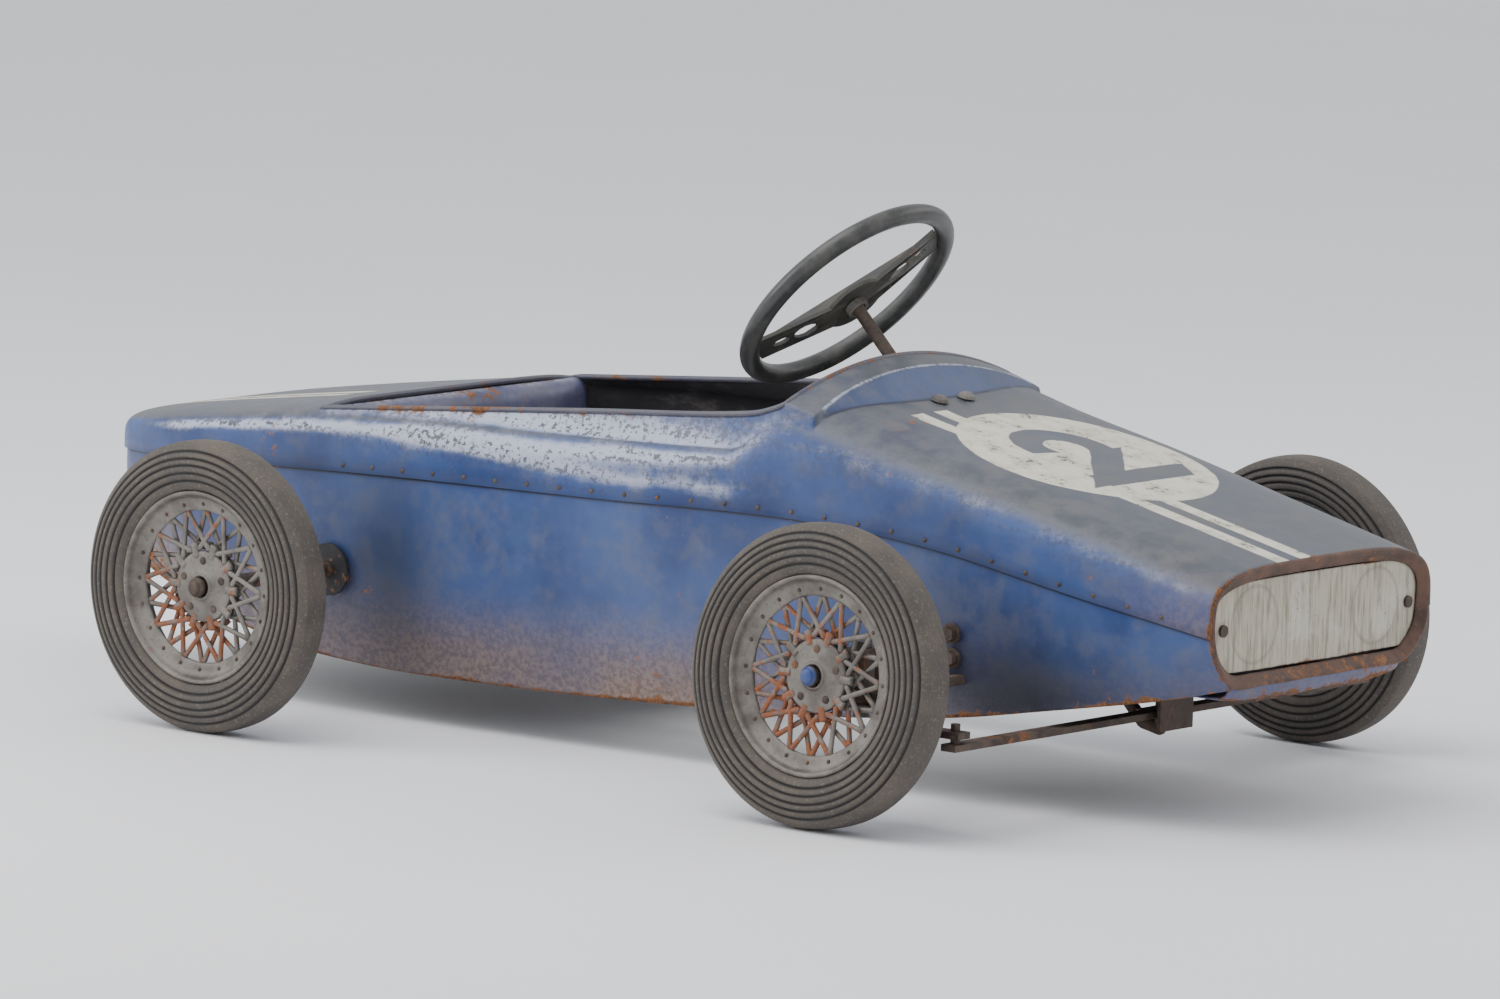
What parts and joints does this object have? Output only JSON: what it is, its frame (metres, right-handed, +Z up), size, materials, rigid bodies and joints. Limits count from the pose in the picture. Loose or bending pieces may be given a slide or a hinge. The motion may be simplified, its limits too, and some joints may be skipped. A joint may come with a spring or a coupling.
{
  "type": "pedal car",
  "caption": "Child's pedal racing car: pressed steel body with open cockpit, rounded tail and flat grille, lattice wheels, tie-rod steering and pedals driving a cranked rear axle.",
  "frame": {"origin": "on the ground under the middle of the car's bounding box", "axes": "+X forward to the nose, +Y to the car's left, +Z up"},
  "size_m": [1.114, 0.6448, 0.4158],
  "materials": {
    "blue_paint": "worn satin paint with rust",
    "cream_paint": "aged matt paint",
    "bare_steel": "dull, lightly rusted",
    "rusty_steel": "rough brown rust",
    "rim_plastic": "scuffed satin",
    "dark_paint": "worn satin with rust",
    "tyre_rubber": "dusty matt",
    "wheel_metal": "dull grey with rust",
    "cap_plastic": "satin"
  },
  "bodies": {
    "body": {"upper_shell": "blue_paint", "bonnet_bolt_right": "bare_steel", "bonnet_bolt_left": "bare_steel", "side_panel_right": "blue_paint", "side_panel_left": "blue_paint", "nose_valance": "rusty_steel", "grille_plate": "cream_paint", "grille_screw_right": "rusty_steel", "grille_screw_left": "rusty_steel", "seat": "blue_paint", "front_axle_beam": "rusty_steel", "axle_bolt_right_upper": "rusty_steel", "axle_bolt_right_lower": "rusty_steel", "axle_bolt_left_upper": "rusty_steel", "axle_bolt_left_lower": "rusty_steel", "kingpin_right": "bare_steel", "kingpin_left": "bare_steel", "column_strap": "rusty_steel", "rear_bush_right": "rusty_steel", "rear_bush_left": "rusty_steel", "pedal_cross_rod": "rusty_steel"},
    "steering": {"steering_column": "rusty_steel", "steering_wheel_rim": "rim_plastic", "steering_wheel_spokes": "dark_paint", "steering_wheel_collar": "bare_steel"},
    "stub_right": {"stub_axle_right": "rusty_steel"},
    "stub_left": {"stub_axle_left": "rusty_steel"},
    "tie_rod": {"tie_rod": "rusty_steel"},
    "front_wheel_right": {"tyre_front_right": "tyre_rubber", "wheel_centre_front_right": "wheel_metal", "axle_cap_front_right": "cap_plastic"},
    "front_wheel_left": {"tyre_front_left": "tyre_rubber", "wheel_centre_front_left": "wheel_metal", "axle_cap_front_left": "cap_plastic"},
    "rear_wheels": {"rear_axle": "rusty_steel", "tyre_rear_right": "tyre_rubber", "wheel_centre_rear_right": "wheel_metal", "axle_cap_rear_right": "rusty_steel", "tyre_rear_left": "tyre_rubber", "wheel_centre_rear_left": "wheel_metal", "axle_cap_rear_left": "rusty_steel"},
    "push_rod_right": {"push_rod_right": "rusty_steel"},
    "push_rod_left": {"push_rod_left": "rusty_steel"},
    "pedal_right": {"pedal_right": "bare_steel"},
    "pedal_left": {"pedal_left": "bare_steel"}
  },
  "joints": [
    {"name": "steering_turn", "type": "hinge", "parent": "body", "child": "steering", "pos_m": [0.1177, 0, 0.33699], "axis": [-0.7071, 0, 0.7071], "range_deg": [-45, 45]},
    {"name": "kingpin_right_turn", "type": "hinge", "parent": "body", "child": "stub_right", "pos_m": [0.329, -0.245, 0.104], "axis": [0, 0, 1], "range_deg": [-9.68, 9.68]},
    {"name": "kingpin_left_turn", "type": "hinge", "parent": "body", "child": "stub_left", "pos_m": [0.329, 0.245, 0.104], "axis": [0, 0, 1], "range_deg": [-9.68, 9.68]},
    {"name": "tie_rod_turn", "type": "hinge", "parent": "stub_right", "child": "tie_rod", "pos_m": [0.415, -0.245, 0.064], "axis": [0, 0, 1], "range_deg": [-9.68, 9.68]},
    {"name": "front_wheel_right_spin", "type": "hinge", "parent": "stub_right", "child": "front_wheel_right", "pos_m": [0.329, -0.2945, 0.11041], "axis": [0, 0.9972, -0.075], "continuous": true},
    {"name": "front_wheel_left_spin", "type": "hinge", "parent": "stub_left", "child": "front_wheel_left", "pos_m": [0.329, 0.2945, 0.11041], "axis": [0, 0.9972, 0.075], "continuous": true},
    {"name": "rear_axle_spin", "type": "hinge", "parent": "body", "child": "rear_wheels", "pos_m": [-0.25, 0, 0.11], "axis": [0, 1, 0], "continuous": true},
    {"name": "push_rod_right_swing", "type": "hinge", "parent": "rear_wheels", "child": "push_rod_right", "pos_m": [-0.21, -0.066, 0.11], "axis": [0, 1, 0], "continuous": true},
    {"name": "push_rod_left_swing", "type": "hinge", "parent": "rear_wheels", "child": "push_rod_left", "pos_m": [-0.29, 0.066, 0.11], "axis": [0, 1, 0], "continuous": true},
    {"name": "pedal_right_swing", "type": "hinge", "parent": "body", "child": "pedal_right", "pos_m": [0.209, -0.076, 0.215], "axis": [0, 1, 0], "range_deg": [0, 41.7]},
    {"name": "pedal_left_swing", "type": "hinge", "parent": "body", "child": "pedal_left", "pos_m": [0.209, 0.076, 0.215], "axis": [0, 1, 0], "range_deg": [-41.7, 0]}
  ],
  "couplings": [
    {"joint": "kingpin_right_turn", "follows": "steering_turn", "ratio": 0.215},
    {"joint": "kingpin_left_turn", "follows": "steering_turn", "ratio": 0.215},
    {"joint": "tie_rod_turn", "follows": "steering_turn", "ratio": -0.215},
    {"joint": "push_rod_right_swing", "follows": "rear_axle_spin", "ratio": -1},
    {"joint": "push_rod_left_swing", "follows": "rear_axle_spin", "ratio": -1},
    {"joint": "pedal_left_swing", "follows": "pedal_right_swing", "ratio": -1}
  ]
}
